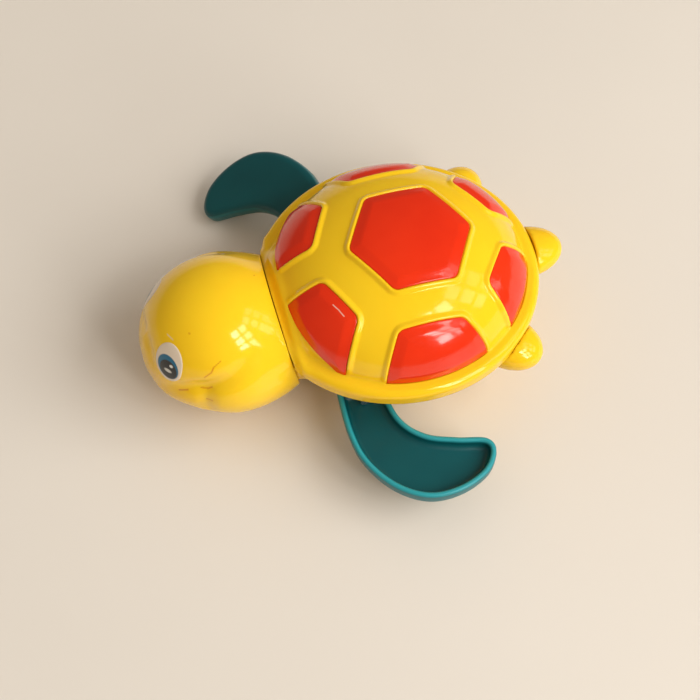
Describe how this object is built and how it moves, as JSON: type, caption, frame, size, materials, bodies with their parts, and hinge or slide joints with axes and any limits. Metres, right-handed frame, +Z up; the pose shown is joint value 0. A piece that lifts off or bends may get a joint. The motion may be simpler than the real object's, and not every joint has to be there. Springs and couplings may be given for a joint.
{
  "type": "clockwork bath turtle",
  "caption": "Floating turtle toy with a glossy domed shell, a round head and two paddle flippers that a sealed clockwork motor turns on one cross shaft.",
  "frame": {"origin": "on the surface it stands on, under the middle of its overall length and width", "axes": "+X towards the head, +Y towards the turtle's left side, +Z up"},
  "size_m": [0.115, 0.114, 0.0477],
  "materials": {
    "yellow_plastic": "polished moulded plastic",
    "red_plastic": "polished moulded plastic",
    "teal_plastic": "satin moulded plastic",
    "cream_plastic": "polished moulded plastic",
    "steel": "bright drawn steel",
    "brass": "stamped brass",
    "black_rubber": "soft black rubber",
    "white_nylon": "natural moulded nylon"
  },
  "bodies": {
    "hull": {"lower_hull": "yellow_plastic", "upper_shell": "yellow_plastic", "crown_plate": "red_plastic", "front_left_plate": "red_plastic", "front_right_plate": "red_plastic", "left_plate": "red_plastic", "right_plate": "red_plastic", "rear_left_plate": "red_plastic", "rear_right_plate": "red_plastic", "hull_gasket": "black_rubber", "head_shell": "yellow_plastic", "left_eye": "cream_plastic", "right_eye": "cream_plastic", "case_screws": "steel", "left_shaft_bush": "white_nylon", "right_shaft_bush": "white_nylon", "motor_case_left": "white_nylon", "motor_case_right": "white_nylon", "motor_screws": "steel", "barrel_arbor": "steel", "middle_arbor": "steel", "governor_arbor": "steel"},
    "flippers": {"left_flipper": "teal_plastic", "right_flipper": "teal_plastic", "flipper_shaft": "steel", "shaft_gear": "brass"},
    "barrel": {"spring_barrel": "brass", "barrel_lid": "brass", "mainspring": "steel"},
    "middle": {"middle_gear": "white_nylon"},
    "governor": {"governor": "white_nylon"}
  },
  "joints": [
    {"name": "flipper_spin", "type": "hinge", "parent": "hull", "child": "flippers", "pos_m": [0.005, 0, 0.0142], "axis": [0, 1, 0], "continuous": true},
    {"name": "barrel_spin", "type": "hinge", "parent": "hull", "child": "barrel", "pos_m": [-0.0102, 0, 0.01771], "axis": [0, 1, 0], "continuous": true},
    {"name": "middle_spin", "type": "hinge", "parent": "hull", "child": "middle", "pos_m": [0.00323, 0, 0.02424], "axis": [0, 1, 0], "continuous": true},
    {"name": "governor_spin", "type": "hinge", "parent": "hull", "child": "governor", "pos_m": [-0.00128, 0, 0.03272], "axis": [0, 1, 0], "continuous": true}
  ],
  "couplings": [
    {"joint": "barrel_spin", "follows": "flipper_spin", "ratio": -0.3},
    {"joint": "middle_spin", "follows": "flipper_spin", "ratio": -2.4},
    {"joint": "governor_spin", "follows": "flipper_spin", "ratio": 7.2}
  ]
}
